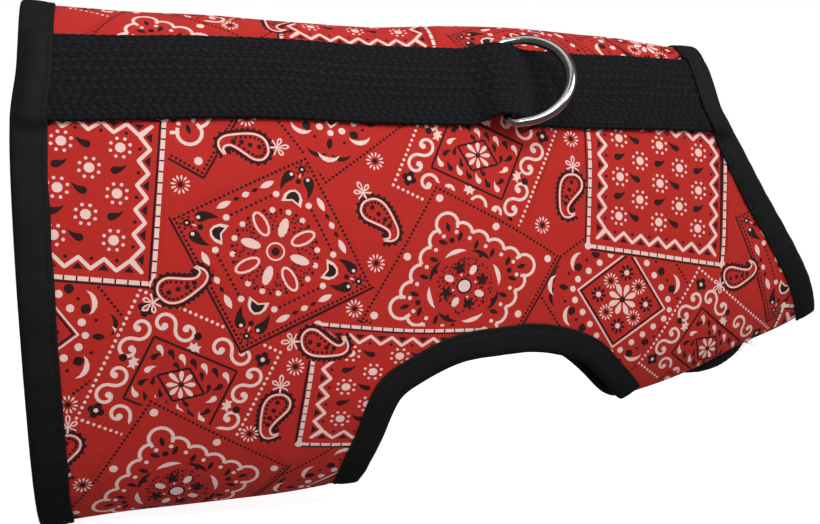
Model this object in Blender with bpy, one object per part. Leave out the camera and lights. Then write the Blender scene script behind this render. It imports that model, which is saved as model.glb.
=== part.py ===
"""Cat harness: a wrap vest of printed cloth, filled out as it is worn, with a webbing back strap and a D-ring.

The cloth is one wall that wraps round a hollow. A place on it is given by x, along the back, and by t, the
distance round the body from the top ridge, with plus towards the near side (-Y). All lengths are millimetres
until they become mesh points.
"""

import math

import bmesh
import bpy
import numpy as np
from mathutils import Matrix, Vector
from mathutils.geometry import delaunay_2d_cdt

MM = 0.001

GAP = 0.3                     # clearance between pieces that touch
WALL = 1.8                    # printed cotton, padding and inside layer together
BINDING_WIDTH = 7.0           # cloth covered by the binding on each face
BINDING_WALL = 1.0
STRAP_WIDTH = 24.6            # 25 mm webbing, drawn in a little where it lies sewn
STRAP_WALL = 1.6
TAPE_WALL = 0.9               # hook or loop tape
HOOK_GAP = 0.45               # between the hook tape and the flap's hollow inner face
BELLY_OVERLAP = 38.0
CHEST_OVERLAP = 28.0
BELLY_END = 10.0              # how far the near flap stops short of the lowest line
CHEST_END = 11.5
TUCK = 4.8                    # how far the far flap runs inside the near one
TUCK_RUN = 25.0               # length over which it goes in

TAPE_INSET = 3.0              # from the flaps' free edges
LOOP_BOW = 5.0                # the chest loop tape's rounded side
FLAP_SPLIT_X = 30.0           # between the belly flaps and the chest flaps

BAR_X = 29.4                  # the D-ring's bar, along the back
BAR_LIFT = 0.5
RING_WIRE = 1.45              # wire radius
RING_HALF_WIDTH = 14.05       # to the middle of the wire
RING_SIDE = 5.2               # from the bar to the start of the round end
RING_CORNER = 2.6
RING_REST = math.radians(23.5)    # the ring's slope as it lies on the strap
RING_ROLL = math.radians(-7.5)    # the bar rocks over the ridge and swings a little
RING_SWING = math.radians(-5.0)
STRAP_RISE = 9.0              # length over which the strap climbs to the bar
STRAP_FIT = 40.0              # length over which its ends take the bindings' slant
STRAP_ENDS = (-90.0, 97.0)

ROUNDNESS = 2.2               # exponent of the cross-section's oval
GRID = 7.5                    # spacing of the cloth's mesh points
EDGE_STEP = 6.5               # spacing of points along an edge

# One row per cross-section of the body: place along the back, half width, top and bottom.
SECTIONS = (
    # x, half_width, top, bottom
    (-105.0, 33.5, 3.9, -137.4),
    (-70.0, 33.5, 1.6, -135.3),
    (-35.0, 32.5, 2.0, -133.7),
    (0.0, 31.0, 1.8, -129.5),
    (35.0, 28.5, 4.7, -121.7),
    (70.0, 25.5, 4.0, -113.6),
    (105.0, 22.5, 2.6, -104.5),
    (135.0, 20.0, 3.0, -92.3),
    (150.0, 18.5, 3.0, -85.7),
)

# Edges of the panel. The far side's t is negative.
WAIST = (
    # t, x
    (-218.0, -90.0),
    (-156.0, -92.0),
    (-115.0, -94.2),
    (-75.0, -96.6),
    (-35.0, -97.0),
    (0.0, -97.0),
    (35.0, -96.6),
    (50.0, -97.7),
    (75.0, -96.8),
    (115.0, -94.4),
    (160.0, -92.0),
)
NECK = (
    # t, x
    (-160.0, 128.0),
    (-140.0, 134.0),
    (-125.0, 138.5),
    (-109.0, 142.5),
    (-94.0, 143.5),
    (-75.0, 131.0),
    (-54.0, 115.8),
    (-36.0, 105.6),
    (-12.0, 102.6),
    (0.0, 104.3),
    (12.0, 102.6),
    (30.0, 103.2),
    (36.0, 105.6),
    (54.0, 115.8),
    (75.0, 131.0),
    (85.0, 138.6),
    (97.0, 146.5),
)
# The leg cut-out, from the belly flap over the arch to the tip of the chest flap.
ARCH = (
    # x, t
    (-7.8, 141.0),
    (-5.7, 133.2),
    (-1.6, 120.0),
    (4.2, 115.3),
    (16.2, 110.4),
    (28.7, 109.2),
    (41.9, 108.7),
    (56.9, 111.8),
    (65.6, 118.0),
)
NEAR_BELLY_CORNER_X = -9.0
NEAR_CHEST_CORNER_X = 75.0
# The far flaps are longer. These are the edges beside the leg cut-out, on from the arch.
FAR_BELLY_SIDE = ((-16.5, 190.0), (-15.0, 165.0))
FAR_CHEST_SIDE = (
    # x, t: the far cut-out runs on further towards the neck
    (57.0, 109.4),
    (68.0, 112.3),
    (75.5, 119.5),
    (79.5, 129.5),
    (81.5, 141.0),
    (82.0, 150.0),
)
FAR_BELLY_CORNER_X = -17.0
FAR_CHEST_CORNER_X = 83.0

# The middle of the back strap.
SPINE = (
    # x, t
    (-97.0, 38.6),
    (-62.0, 35.6),
    (-27.0, 33.8),
    (4.0, 33.1),
    (29.0, 34.0),
    (50.0, 32.8),
    (66.0, 31.2),
    (100.0, 27.4),
)

SECTION_STEPS = 96


def smooth(rows, column, place):
    """A smooth curve through one column of a table whose first column rises."""
    xs = [row[0] for row in rows]
    ys = [row[column] for row in rows]
    last = len(xs) - 1
    k = min(max(int(np.searchsorted(xs, place)) - 1, 0), last - 1)

    def slope(i):
        low, high = max(i - 1, 0), min(i + 1, last)
        return (ys[high] - ys[low]) / (xs[high] - xs[low])

    span = xs[k + 1] - xs[k]
    u = (place - xs[k]) / span
    if u < 0:
        return ys[k] + slope(k) * (place - xs[k])
    if u > 1:
        return ys[k + 1] + slope(k + 1) * (place - xs[k + 1])
    rise = ys[k + 1] - ys[k]
    start, end = slope(k) * span, slope(k + 1) * span
    return ys[k] + u * (start + u * (3 * rise - 2 * start - end + u * (start + end - 2 * rise)))


def ease(u):
    u = min(max(u, 0.0), 1.0)
    return u * u * (3 - 2 * u)


# ---- the body's surface ----

half_sections = {}


def half_section(x):
    """The near half of the cross-section at x, from the ridge down: arc lengths, y and z."""
    key = round(x, 4)
    if key not in half_sections:
        width, top, bottom = (smooth(SECTIONS, column, x) for column in (1, 2, 3))
        turn = np.linspace(0, math.pi, SECTION_STEPS + 1)
        power = 2 / ROUNDNESS
        y = -width * np.abs(np.sin(turn)) ** power
        z = (top + bottom) / 2 + (top - bottom) / 2 * np.sign(np.cos(turn)) * np.abs(np.cos(turn)) ** power
        arc = np.concatenate([[0], np.cumsum(np.hypot(np.diff(y), np.diff(z)))])
        half_sections[key] = (arc, y, z)
    return half_sections[key]


def half_girth(x):
    return half_section(x)[0][-1]


def skin(x, t):
    """The point of the body's outer surface at x and t."""
    arc, y, z = half_section(x)
    side = 1 if t >= 0 else -1
    reach = abs(t)
    if reach > arc[-1]:
        reach, side = 2 * arc[-1] - reach, -side
    return Vector((x, side * np.interp(reach, arc, y), np.interp(reach, arc, z)))


def outward(x, t):
    step = 2.0
    along = skin(x + step, t) - skin(x - step, t)
    around = skin(x, t + step) - skin(x, t - step)
    return around.cross(along).normalized()


def near_end(x):
    """t of the near flaps' free edge: the belly flap's behind the leg cut-out, the chest flap's before it."""
    return half_girth(x) - (BELLY_END if x < FLAP_SPLIT_X else CHEST_END)


def far_end(x):
    """Reach round the far side of the far flaps' free edge."""
    return 2 * half_girth(x) - near_end(x) + (BELLY_OVERLAP if x < FLAP_SPLIT_X else CHEST_OVERLAP)


def tuck(x, t):
    if t > 0:
        return 0.0
    return TUCK * ease((-t - (2 * half_girth(x) - near_end(x) - TUCK_RUN)) / TUCK_RUN)


def cloth(x, t, out):
    """A point at the height out above the cloth's outer face."""
    return skin(x, t) + outward(x, t) * (out - tuck(x, t))


# ---- the panel's outline, as (x, t) ----

def waist_x(t):
    return smooth(WAIST, 1, t)


def neck_x(t):
    return smooth(NECK, 1, t)


def meeting(edge_x, end_t, sign):
    """Where an edge x = f(t) meets a free end t = g(x)."""
    x = edge_x(sign * 150.0)
    for _ in range(30):
        x = edge_x(sign * end_t(x))
    return x


def even(points, step):
    """The same line with points about a step apart."""
    line = np.array(points)
    run = np.concatenate([[0], np.cumsum(np.hypot(*np.diff(line, axis=0).T))])
    count = max(int(round(run[-1] / step)), 1)
    places = np.linspace(0, run[-1], count + 1)
    return [(float(np.interp(s, run, line[:, 0])), float(np.interp(s, run, line[:, 1]))) for s in places]


def curve(knots, step):
    """A smooth line through a few knots."""
    run = [0.0]
    for a, b in zip(knots, knots[1:]):
        run.append(run[-1] + math.hypot(b[0] - a[0], b[1] - a[1]))
    rows = [(s, p[0], p[1]) for s, p in zip(run, knots)]
    fine = np.linspace(0, run[-1], 20 * len(knots))
    return even([(smooth(rows, 1, s), smooth(rows, 2, s)) for s in fine], step)


def outline_edges():
    """The panel's edges in order, the cloth on their left, each from corner to corner."""
    near_waist = meeting(waist_x, near_end, 1)
    far_waist = meeting(waist_x, far_end, -1)
    near_neck = meeting(neck_x, near_end, 1)
    far_neck = meeting(neck_x, far_end, -1)

    def free_edge(x_from, x_to, end_t, sign):
        xs = np.linspace(x_from, x_to, 30)
        return even([(x, sign * end_t(x)) for x in xs], EDGE_STEP)

    near_knots = [(NEAR_BELLY_CORNER_X, near_end(NEAR_BELLY_CORNER_X)), *ARCH,
                  (NEAR_CHEST_CORNER_X, near_end(NEAR_CHEST_CORNER_X))]
    far_knots = [(FAR_BELLY_CORNER_X, far_end(FAR_BELLY_CORNER_X)), *FAR_BELLY_SIDE, *ARCH[:-2],
                 *FAR_CHEST_SIDE, (FAR_CHEST_CORNER_X, far_end(FAR_CHEST_CORNER_X))]
    waist_ts = np.linspace(near_end(near_waist), -far_end(far_waist), 200)
    neck_ts = np.linspace(-far_end(far_neck), near_end(near_neck), 200)
    return {
        "waist": even([(waist_x(t), t) for t in waist_ts], EDGE_STEP),
        "far_belly": free_edge(far_waist, FAR_BELLY_CORNER_X, far_end, -1),
        "far_arch": [(x, -t) for x, t in curve(far_knots, EDGE_STEP)],
        "far_chest": free_edge(FAR_CHEST_CORNER_X, far_neck, far_end, -1),
        "neck": even([(neck_x(t), t) for t in neck_ts], EDGE_STEP),
        "near_chest": free_edge(near_neck, NEAR_CHEST_CORNER_X, near_end, 1),
        "near_arch": curve(near_knots, EDGE_STEP)[::-1],
        "near_belly": free_edge(NEAR_BELLY_CORNER_X, near_waist, near_end, 1),
    }


BOUND_EDGES = {
    "waist": "waist_binding",
    "far_arch": "armhole_binding_far",
    "neck": "neck_binding",
    "near_arch": "armhole_binding_near",
}


def set_in(edge, reach):
    """The line at a distance inside an edge, with a point for each of the edge's points."""
    line = []
    for k, (x, t) in enumerate(edge):
        before, after = edge[max(k - 1, 0)], edge[min(k + 1, len(edge) - 1)]
        along = Vector((after[0] - before[0], after[1] - before[1])).normalized()
        line.append((x - along.y * reach, t + along.x * reach))
    return line


# ---- meshes ----

def make_object(name, bm, material):
    bmesh.ops.recalc_face_normals(bm, faces=bm.faces)
    mesh = bpy.data.meshes.new(name)
    bm.to_mesh(mesh)
    bm.free()
    mesh.shade_smooth()
    mesh.set_sharp_from_angle(angle=math.radians(40))
    mesh.materials.append(material)
    piece = bpy.data.objects.new(name, mesh)
    bpy.context.scene.collection.objects.link(piece)
    return piece


def add_point(bm, point):
    return bm.verts.new(point * MM)


def inside(point, loop):
    x, t = point
    crossings = 0
    for (x1, t1), (x2, t2) in zip(loop, loop[1:] + loop[:1]):
        if (t1 > t) != (t2 > t) and x < x1 + (t - t1) / (t2 - t1) * (x2 - x1):
            crossings += 1
    return crossings % 2 == 1


def panel_outline(edges):
    """The whole outline. A free edge passes through the ends of the bindings beside it."""
    names = list(edges)
    loop = []
    for k, name in enumerate(names):
        if name in BOUND_EDGES:
            loop += edges[name]
            continue
        start = set_in(edges[names[k - 1]], BINDING_WIDTH)[-1]
        end = set_in(edges[names[(k + 1) % len(names)]], BINDING_WIDTH)[0]
        between = [
            point for point in edges[name]
            if min(math.dist(point, start), math.dist(point, end)) > GRID / 2
            and min(math.dist(point, edges[name][0]), math.dist(point, edges[name][-1])) > BINDING_WIDTH
        ]
        loop += [start, *between, end]
    return loop


def panel(name, edges, material):
    """The cloth wall: the outline is filled with triangles, and both faces are raised from them.

    Under each binding the triangles are the binding's own, so that the two lie face to face.
    """
    loop = panel_outline(edges)
    knots = list(loop)
    place = {point: k for k, point in enumerate(knots)}

    def knot(point):
        if point not in place:
            place[point] = len(knots)
            knots.append(point)
        return place[point]

    ties = []
    for edge_name in BOUND_EDGES:
        edge = edges[edge_name]
        inner = set_in(edge, BINDING_WIDTH)
        for k in range(len(edge) - 1):
            ties.append((knot(inner[k]), knot(inner[k + 1])))
            ties.append((knot(edge[k + 1]), knot(inner[k])))
            if k:
                ties.append((knot(edge[k]), knot(inner[k])))
    fixed = np.array(knots)
    rim = np.array(loop)
    bound = np.concatenate([np.array(even(edges[edge_name], 1.0)) for edge_name in BOUND_EDGES])
    low, high = rim.min(axis=0), rim.max(axis=0)
    for row, t in enumerate(np.arange(low[1], high[1], GRID * 0.87)):
        for x in np.arange(low[0] + (row % 2) * GRID / 2, high[0], GRID):
            clear = np.hypot(*(fixed - (x, t)).T).min() > 0.55 * GRID
            within = np.hypot(*(bound - (x, t)).T).min() > BINDING_WIDTH + 0.4 * GRID
            if clear and within and inside((x, t), loop):
                knots.append((x, t))
    flat = [Vector(point) for point in knots]
    points, _, faces, *_ = delaunay_2d_cdt(flat, ties, [list(range(len(loop)))], 1, 1e-4)
    bm = bmesh.new()
    outer = [add_point(bm, cloth(x, t, 0.0)) for x, t in points]
    inner = [add_point(bm, cloth(x, t, -WALL)) for x, t in points]
    directed = {(a, b) for face in faces for a, b in zip(face, face[1:] + face[:1])}
    for face in faces:
        bm.faces.new([outer[i] for i in reversed(face)])
        bm.faces.new([inner[i] for i in face])
    for a, b in sorted(directed):
        if (b, a) not in directed:
            bm.faces.new([outer[a], outer[b], inner[b], inner[a]])
    return make_object(name, bm, material)


def binding(name, edge, material):
    """Tape folded over an edge: a U-shaped section carried along it."""
    near_face, far_face = GAP, -WALL - GAP
    top, bottom, rim = near_face + BINDING_WALL, far_face - BINDING_WALL, -GAP - BINDING_WALL
    chamfer = 0.4
    profile = (
        # distance from the cloth's edge, height above its outer face
        (BINDING_WIDTH, top), (rim + chamfer, top), (rim, top - chamfer), (rim, bottom + chamfer),
        (rim + chamfer, bottom), (BINDING_WIDTH, bottom), (BINDING_WIDTH, far_face), (-GAP, far_face),
        (-GAP, near_face), (BINDING_WIDTH, near_face),
    )
    bm = bmesh.new()
    lines = [set_in(edge, reach) for reach, _ in profile]
    rings = [
        [add_point(bm, cloth(*line[k], height)) for line, (_, height) in zip(lines, profile)]
        for k in range(len(edge))
    ]
    sides = len(profile)
    for a, b in zip(rings, rings[1:]):
        for k in range(sides):
            n = (k + 1) % sides
            if profile[n][0] > profile[k][0]:
                bm.faces.new([a[k], a[n], b[k]])
                bm.faces.new([a[n], b[n], b[k]])
            else:
                bm.faces.new([a[k], a[n], b[n]])
                bm.faces.new([a[k], b[n], b[k]])
    bm.faces.new(rings[0])
    bm.faces.new(rings[-1][::-1])
    return make_object(name, bm, material)


def slab(name, columns, material):
    """A closed sheet from columns of (low point, high point) pairs."""
    bm = bmesh.new()
    grid = [[(add_point(bm, low), add_point(bm, high)) for low, high in column] for column in columns]
    rows, across = len(grid), len(grid[0])
    for i in range(rows - 1):
        for j in range(across - 1):
            corners = ((i, j), (i + 1, j), (i + 1, j + 1), (i, j + 1))
            bm.faces.new([grid[a][b][1] for a, b in corners])
            bm.faces.new([grid[a][b][0] for a, b in reversed(corners)])
    rim = [(i, 0) for i in range(rows)] + [(rows - 1, j) for j in range(1, across)]
    rim += [(i, across - 1) for i in range(rows - 2, -1, -1)] + [(0, j) for j in range(across - 2, 0, -1)]
    for a, b in zip(rim, rim[1:] + rim[:1]):
        low_a, high_a = grid[a[0]][a[1]]
        low_b, high_b = grid[b[0]][b[1]]
        bm.faces.new([low_a, low_b, high_b, high_a])
    return make_object(name, bm, material)


def tape(name, xs, reaches, side, low, high, material):
    """Hook or loop tape: reaches(x) gives its start and end round the body."""
    columns = []
    for x in xs:
        start, end = reaches(x)
        columns.append([
            (cloth(x, side * t, low), cloth(x, side * t, high)) for t in np.linspace(start, end, 6)
        ])
    return slab(name, columns, material)


# ---- the strap and its ring ----

def spine_t(x):
    return smooth(SPINE, 1, x)


def ring_frame():
    """The bar's middle, and the directions along the back, up the strap's width and out of it."""
    t = spine_t(BAR_X)
    out = (cloth(BAR_X, t - 8, 0) - cloth(BAR_X, t + 8, 0)).cross(Vector((-1, 0, 0))).normalized()
    along = (cloth(BAR_X + 8, t, 0) - cloth(BAR_X - 8, t, 0)).normalized()
    along = (along - out * along.dot(out)).normalized()
    out = Matrix.Rotation(RING_ROLL, 3, along) @ out
    along = Matrix.Rotation(RING_SWING, 3, out) @ along
    return cloth(BAR_X, t, GAP + RING_WIRE + BAR_LIFT), along, out.cross(along), out


def strap_point(x, offset, height):
    """A point of the strap: it lies on the cloth, and climbs flat over the bar where the ring is held."""
    middle, along, across, out = ring_frame()
    over_bar = middle + along * (x - BAR_X) - across * offset + out * (RING_WIRE + GAP + height)
    share = 1 - ease((abs(x - BAR_X) - RING_WIRE) / STRAP_RISE)
    return cloth(x, spine_t(x) + offset, GAP + height).lerp(over_bar, share)


def strap_columns():
    """Points across the strap at places along it. Its ends follow the bindings' inner edges."""
    waist_gap = BINDING_WIDTH + GAP + 0.4
    neck_gap = waist_gap + 1.2
    near_bar = [BAR_X + step for step in (-10.5, -8, -6, -4.2, -2.8, -1.4, 0, 1.4, 2.8, 4.2, 6, 8, 10.5)]
    clear = 1.55 * STRAP_RISE
    places = sorted(near_bar + [x for x in np.linspace(*STRAP_ENDS, 22) if abs(x - BAR_X) > clear])
    columns = []
    for place in places:
        at_waist = 1 - ease((place - places[0]) / STRAP_FIT)
        at_neck = 1 - ease((places[-1] - place) / STRAP_FIT)
        column = []
        for offset in np.linspace(-STRAP_WIDTH / 2, STRAP_WIDTH / 2, 7):
            t = spine_t(place) + offset
            to_waist = waist_x(t) + waist_gap - places[0]
            to_neck = neck_x(t) - neck_gap - places[-1]
            x = place + to_waist * at_waist + to_neck * at_neck
            column.append((strap_point(x, offset, 0.0), strap_point(x, offset, STRAP_WALL)))
        columns.append(column)
    return columns


def ring_path():
    """The D's centre line in its own plane, from the bar round the apex and back."""
    half, corner, side = RING_HALF_WIDTH, RING_CORNER, RING_SIDE
    path = [(0.0, y) for y in np.linspace(-(half - corner), half - corner, 9)]
    path += [
        (corner - corner * math.cos(a), half - corner + corner * math.sin(a))
        for a in np.linspace(0, math.pi / 2, 5)[1:]
    ]
    path += [
        (side + half * math.sin(a), half * math.cos(a)) for a in np.linspace(0, math.pi, 25)
    ]
    path += [
        (corner - corner * math.sin(a), -(half - corner) - corner * math.cos(a))
        for a in np.linspace(0, math.pi / 2, 5)[:-1]
    ]
    return path


def d_ring(material):
    wire = bpy.data.curves.new("d_ring", "CURVE")
    wire.dimensions = "3D"
    wire.bevel_depth = RING_WIRE * MM
    wire.bevel_resolution = 3
    path = ring_path()
    spline = wire.splines.new("POLY")
    spline.points.add(len(path) - 1)
    for point, (x, y) in zip(spline.points, path):
        point.co = (x * MM, y * MM, 0, 1)
    spline.use_cyclic_u = True
    wire.materials.append(material)
    ring = bpy.data.objects.new("d_ring", wire)
    bpy.context.scene.collection.objects.link(ring)
    middle, along, across, out = ring_frame()
    slope = Matrix.Rotation(-RING_REST, 3, "Y")
    turn = Matrix((along, across, out)).transposed() @ slope
    ring.matrix_world = Matrix.Translation(middle * MM) @ turn.to_4x4()
    return ring


# ---- the whole harness ----

def make_material(name, color, roughness, metallic):
    material = bpy.data.materials.new(name)
    material.use_nodes = True
    shader = material.node_tree.nodes["Principled BSDF"]
    shader.inputs["Base Color"].default_value = (*color, 1)
    shader.inputs["Roughness"].default_value = roughness
    shader.inputs["Metallic"].default_value = metallic
    return material


def build():
    for item in list(bpy.context.scene.objects):
        bpy.data.objects.remove(item, do_unlink=True)

    edges = outline_edges()
    panel("body_panel", edges, make_material("print_red", (0.42, 0.03, 0.025), 0.8, 0.0))
    for edge, name in BOUND_EDGES.items():
        binding(name, edges[edge], make_material(name, (0.012, 0.012, 0.014), 0.75, 0.0))

    webbing = make_material("webbing", (0.01, 0.011, 0.016), 0.9, 0.0)
    slab("back_strap", strap_columns(), webbing)
    d_ring(make_material("nickel", (0.75, 0.74, 0.72), 0.18, 1.0))

    hook_high = -WALL - HOOK_GAP
    hook_low = hook_high - TAPE_WALL
    belly_xs = np.linspace(-82, -25, 8)
    chest_xs = np.linspace(92, 118, 6)

    def belly_hook(x):
        return near_end(x) - BELLY_OVERLAP + TAPE_INSET, near_end(x) - TAPE_INSET

    def belly_loop(x):
        return far_end(x) - BELLY_OVERLAP + 1, far_end(x) - TAPE_INSET

    def chest_hook(x):
        return near_end(x) - CHEST_OVERLAP + TAPE_INSET, near_end(x) - TAPE_INSET

    def chest_loop(x):
        bow = LOOP_BOW * math.sin(math.pi * (x - chest_xs[0]) / (chest_xs[-1] - chest_xs[0]))
        return far_end(x) - CHEST_OVERLAP - bow, far_end(x) - TAPE_INSET

    for name, xs, reaches, side, low, high in (
        ("belly_hook_tape", belly_xs, belly_hook, 1, hook_low, hook_high),
        ("belly_loop_tape", belly_xs, belly_loop, -1, GAP, GAP + TAPE_WALL),
        ("chest_hook_tape", chest_xs, chest_hook, 1, hook_low, hook_high),
        ("chest_loop_tape", chest_xs, chest_loop, -1, GAP, GAP + TAPE_WALL),
    ):
        tape(name, xs, reaches, side, low, high, make_material(name, (0.012, 0.012, 0.012), 0.95, 0.0))


build()
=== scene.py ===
import math
import random
import time

import bmesh
import bpy
import numpy as np
from mathutils import Matrix, Vector
from mathutils.geometry import delaunay_2d_cdt


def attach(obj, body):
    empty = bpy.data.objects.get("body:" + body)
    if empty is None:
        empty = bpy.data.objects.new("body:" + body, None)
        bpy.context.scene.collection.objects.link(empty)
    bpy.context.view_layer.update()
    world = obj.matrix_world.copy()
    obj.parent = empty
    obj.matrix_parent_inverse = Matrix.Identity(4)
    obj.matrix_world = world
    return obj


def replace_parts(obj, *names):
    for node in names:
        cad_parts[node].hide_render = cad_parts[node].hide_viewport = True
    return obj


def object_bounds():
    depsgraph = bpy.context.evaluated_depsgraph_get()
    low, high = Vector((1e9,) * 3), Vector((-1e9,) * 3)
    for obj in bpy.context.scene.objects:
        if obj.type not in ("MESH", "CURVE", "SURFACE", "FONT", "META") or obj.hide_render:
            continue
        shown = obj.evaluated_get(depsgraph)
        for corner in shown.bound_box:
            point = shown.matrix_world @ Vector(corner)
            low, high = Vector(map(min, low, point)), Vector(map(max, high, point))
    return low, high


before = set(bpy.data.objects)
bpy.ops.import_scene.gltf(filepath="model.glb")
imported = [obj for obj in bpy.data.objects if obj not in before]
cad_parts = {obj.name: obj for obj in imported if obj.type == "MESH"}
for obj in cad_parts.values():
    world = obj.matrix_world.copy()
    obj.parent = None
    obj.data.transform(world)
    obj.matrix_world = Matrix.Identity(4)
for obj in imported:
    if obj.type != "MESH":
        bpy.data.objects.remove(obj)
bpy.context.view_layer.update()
clock = time.time()


def report(stage):
    print(f"{stage}  ({time.time() - clock:.1f} s)")


# A place on the cloth is (x, t): x runs along the back and t round the body from the top ridge, plus towards
# the near side. Lengths are millimetres until a mesh is made.
body = {
    "roundness": 2.2,
    "wall": 1.8,
    "bellyEnd": 10.0,
    "chestEnd": 11.5,
    "chestDraw": (86.0, 136.0, 2.5),      # where the near chest flap's edge draws back, and how far
    "bellyOverlap": 38.0,
    "chestOverlap": 28.0,
    "tuck": 4.8,
    "tuckRun": 25.0,
    "turnedEdge": 0.9,
    # x, half width, top, bottom
    "sections": ((-105.0, 33.5, 2.4, -137.4), (-70.0, 33.5, 1.6, -135.3), (-35.0, 32.5, 2.0, -133.7),
                 (0.0, 31.0, 1.8, -129.5), (35.0, 28.5, 4.7, -121.7), (70.0, 25.5, 4.0, -113.6),
                 (105.0, 22.5, 2.6, -104.5), (135.0, 20.0, 3.0, -92.3), (150.0, 18.5, 3.0, -85.7)),
    # t, x
    "waist": ((-218.0, -90.0), (-156.0, -92.0), (-115.0, -94.2), (-75.0, -96.6), (-35.0, -97.0),
              (0.0, -97.0), (35.0, -96.6), (50.0, -97.7), (75.0, -96.8), (115.0, -94.4), (160.0, -92.0)),
    "neck": ((-160.0, 128.0), (-140.0, 134.0), (-125.0, 138.5), (-109.0, 142.5), (-94.0, 143.5),
             (-75.0, 131.0), (-54.0, 115.8), (-36.0, 105.6), (-12.0, 102.6), (0.0, 104.3), (12.0, 102.6),
             (30.0, 103.2), (36.0, 105.6), (54.0, 115.8), (75.0, 131.0), (85.0, 138.6), (97.0, 146.5)),
    # x, t
    "arch": ((-7.8, 141.0), (-5.7, 133.2), (-1.6, 120.0), (4.2, 115.3), (16.2, 110.4), (28.7, 109.2),
             (41.9, 108.7), (56.9, 111.8), (65.6, 118.0)),
    "nearBellyCorner": -9.0,
    "nearChestCorner": 75.0,
    "farBellySide": ((-16.5, 190.0), (-15.0, 165.0)),
    "farChestSide": ((57.0, 109.4), (68.0, 112.3), (75.5, 119.5), (79.5, 129.5), (81.5, 141.0),
                     (82.0, 150.0)),
    "farBellyCorner": -17.0,
    "farChestCorner": 83.0,
    "edgeStep": 1.6,
    "meshStep": 3.0,
}
folds = {"swell": 0.34, "wave": 0.16, "pucker": 0.11, "puckerLength": 6.3, "puckerReach": 7.0}


def smoothCurve(rows, column, place):
    table = np.array(rows, float)
    xs, ys = table[:, 0], table[:, column]
    slopes = np.gradient(ys, xs)
    slopes[1:-1] = (ys[2:] - ys[:-2]) / (xs[2:] - xs[:-2])
    place = np.asarray(place, float)
    k = np.clip(np.searchsorted(xs, place) - 1, 0, len(xs) - 2)
    span = xs[k + 1] - xs[k]
    u = (place - xs[k]) / span
    rise, start, end = ys[k + 1] - ys[k], slopes[k] * span, slopes[k + 1] * span
    inside = ys[k] + u * (start + u * (3 * rise - 2 * start - end + u * (start + end - 2 * rise)))
    return np.where(u < 0, ys[k] + start * u, np.where(u > 1, ys[k + 1] + end * (u - 1), inside))


def ease(u):
    u = np.clip(u, 0.0, 1.0)
    return u * u * (3 - 2 * u)


# The body's skin is worked out once on a fine grid of x and t, and read from there.
alongSteps = np.arange(-116.0, 160.5, 1.0)
roundSteps = np.arange(-260.0, 200.5, 0.5)


def measureSkin():
    width, top, bottom = (smoothCurve(body["sections"], column, alongSteps) for column in (1, 2, 3))
    turn = np.linspace(0, math.pi, 1441)
    power = 2 / body["roundness"]
    points = np.zeros((len(alongSteps), len(roundSteps), 3))
    girths = np.zeros(len(alongSteps))
    for i, x in enumerate(alongSteps):
        y = -width[i] * np.abs(np.sin(turn)) ** power
        lift = np.sign(np.cos(turn)) * np.abs(np.cos(turn)) ** power
        z = (top[i] + bottom[i]) / 2 + (top[i] - bottom[i]) / 2 * lift
        arc = np.concatenate([[0], np.cumsum(np.hypot(np.diff(y), np.diff(z)))])
        reach, side = np.abs(roundSteps), np.where(roundSteps >= 0, 1.0, -1.0)
        beyond = reach > arc[-1]
        side = np.where(beyond, -side, side)
        reach = np.where(beyond, 2 * arc[-1] - reach, reach)
        points[i, :, 0] = x
        points[i, :, 1] = side * np.interp(reach, arc, y)
        points[i, :, 2] = np.interp(reach, arc, z)
        girths[i] = arc[-1]
    outward = np.cross(np.gradient(points, axis=1), np.gradient(points, axis=0))
    outward /= np.maximum(np.linalg.norm(outward, axis=2, keepdims=True), 1e-9)
    return points, outward, girths


skinPoints, skinOutward, halfGirths = measureSkin()


def lookUp(table, x, t):
    i = np.clip(np.asarray(x, float) - alongSteps[0], 0, len(alongSteps) - 1.001)
    j = np.clip((np.asarray(t, float) - roundSteps[0]) * 2, 0, len(roundSteps) - 1.001)
    a, b = i.astype(int), j.astype(int)
    u, v = i - a, j - b
    if table.ndim == 3:
        u, v = u[..., None], v[..., None]
    low = table[a, b] * (1 - v) + table[a, b + 1] * v
    high = table[a + 1, b] * (1 - v) + table[a + 1, b + 1] * v
    return low * (1 - u) + high * u


def halfGirth(x):
    return np.interp(x, alongSteps, halfGirths)


def nearEnd(x):
    start, stop, depth = body["chestDraw"]
    drawn = depth * np.sin(math.pi * np.clip((x - start) / (stop - start), 0, 1)) ** 2
    return halfGirth(x) - np.where(np.asarray(x) < 30, body["bellyEnd"], body["chestEnd"]) - drawn


def farEnd(x):
    overlap = np.where(np.asarray(x) < 30, body["bellyOverlap"], body["chestOverlap"])
    return 2 * halfGirth(x) - nearEnd(x) + overlap


def waistX(t):
    return smoothCurve(body["waist"], 1, t)


def neckX(t):
    return smoothCurve(body["neck"], 1, t)


def runAlong(line):
    return np.concatenate([[0], np.cumsum(np.hypot(*np.diff(line, axis=0).T))])


def pairs(xs, ys):
    return np.stack((xs, ys), 1)


# Edges of the cloth, the cloth on their left.
def evenly(points, step):
    line = np.array(points, float)
    run = runAlong(line)
    places = np.linspace(0, run[-1], max(int(round(run[-1] / step)), 1) + 1)
    return pairs(np.interp(places, run, line[:, 0]), np.interp(places, run, line[:, 1]))


def curveThrough(knots, step):
    line = np.array(knots, float)
    run = runAlong(line)
    rows = np.column_stack((run, line))
    fine = np.linspace(0, run[-1], 40 * len(knots))
    return evenly(pairs(smoothCurve(rows, 1, fine), smoothCurve(rows, 2, fine)), step)


def cornerX(edgeX, end, sign):
    x = float(edgeX(sign * 150.0))
    for _ in range(40):
        x = float(edgeX(sign * float(end(x))))
    return x


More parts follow.
